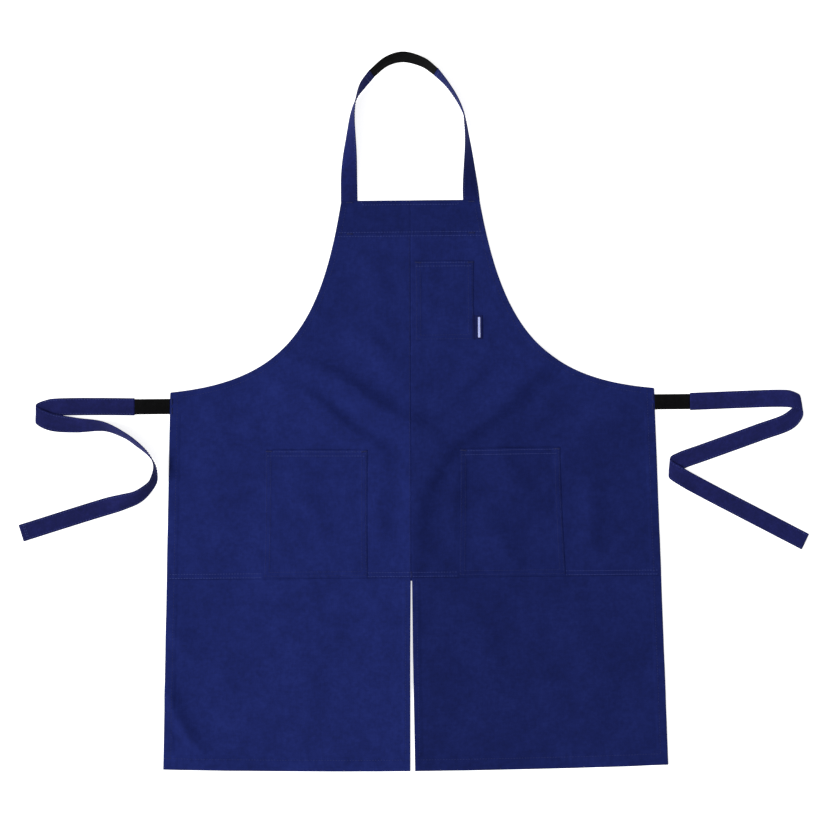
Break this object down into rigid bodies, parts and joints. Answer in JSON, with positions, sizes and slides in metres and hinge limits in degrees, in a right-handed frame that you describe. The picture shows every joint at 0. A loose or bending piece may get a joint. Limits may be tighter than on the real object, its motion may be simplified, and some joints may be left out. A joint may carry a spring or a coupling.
{
  "type": "welding apron",
  "caption": "Long bib apron in heavy navy canvas, laid flat: split legs, hip and chest pockets, elasticated neck loop and waist ties.",
  "frame": {"origin": "on the centre seam at waist level, on the surface that the apron lies on", "axes": "+X to the right as seen looking at the front, +Y up the bib towards the neck, +Z out of the front"},
  "size_m": [1.1825, 1.0794, 0.0268],
  "materials": {
    "canvas": "heavy navy cotton canvas, matte",
    "canvas_back": "inside of the navy canvas, matte",
    "tie_tape": "folded and stitched navy tie tape, slight sheen",
    "elastic": "black knitted elastic, ribbed",
    "thread": "navy sewing thread",
    "label": "dark woven label with a plain light bar"
  },
  "bodies": {
    "front": {"left_front_panel": "canvas", "right_front_panel": "canvas", "centre_seam_tape": "canvas_back", "bib_facing": "canvas_back", "left_armhole_facing": "canvas_back", "right_armhole_facing": "canvas_back", "left_hip_pocket": "canvas", "right_hip_pocket": "canvas", "chest_pocket": "canvas", "label_tab": "label", "hip_pocket_bartacks": "thread", "chest_pocket_bartacks": "thread", "split_bartack": "thread", "neck_strap_bartacks": "thread", "waist_elastic_bartacks": "thread"},
    "left_leg": {"left_leg_panel": "canvas"},
    "right_leg": {"right_leg_panel": "canvas"},
    "left_elastic": {"left_waist_elastic": "elastic"},
    "left_tie": {"left_waist_tie": "tie_tape"},
    "right_elastic": {"right_waist_elastic": "elastic"},
    "right_tie": {"right_waist_tie": "tie_tape"},
    "neck_loop": {"left_neck_strap": "tie_tape", "neck_elastic": "elastic", "right_neck_strap": "tie_tape"}
  },
  "joints": [
    {"name": "neck_loop_fold", "type": "hinge", "parent": "front", "child": "neck_loop", "pos_m": [0, 0.28415, 0.0016], "axis": [1, 0, 0], "range_deg": [0, 135]},
    {"name": "left_leg_lift", "type": "hinge", "parent": "front", "child": "left_leg", "pos_m": [-0.18, -0.28015, 0.0016], "axis": [-1, 0, 0], "range_deg": [0, 90]},
    {"name": "right_leg_lift", "type": "hinge", "parent": "front", "child": "right_leg", "pos_m": [0.18, -0.28015, 0.0016], "axis": [-1, 0, 0], "range_deg": [0, 90]},
    {"name": "left_tie_fold", "type": "hinge", "parent": "front", "child": "left_elastic", "pos_m": [-0.36306, -0.021, 0.0016], "axis": [0, 1, 0], "range_deg": [0, 120]},
    {"name": "left_tie_stretch", "type": "slide", "parent": "left_elastic", "child": "left_tie", "axis": [-1, 0, 0], "range_m": [0, 0.025], "stiffness_N_per_m": 120, "deforming": ["left_waist_elastic"]},
    {"name": "right_tie_fold", "type": "hinge", "parent": "front", "child": "right_elastic", "pos_m": [0.36306, -0.021, 0.0016], "axis": [0, -1, 0], "range_deg": [0, 120]},
    {"name": "right_tie_stretch", "type": "slide", "parent": "right_elastic", "child": "right_tie", "axis": [1, 0, 0], "range_m": [0, 0.025], "stiffness_N_per_m": 120, "deforming": ["right_waist_elastic"]}
  ]
}
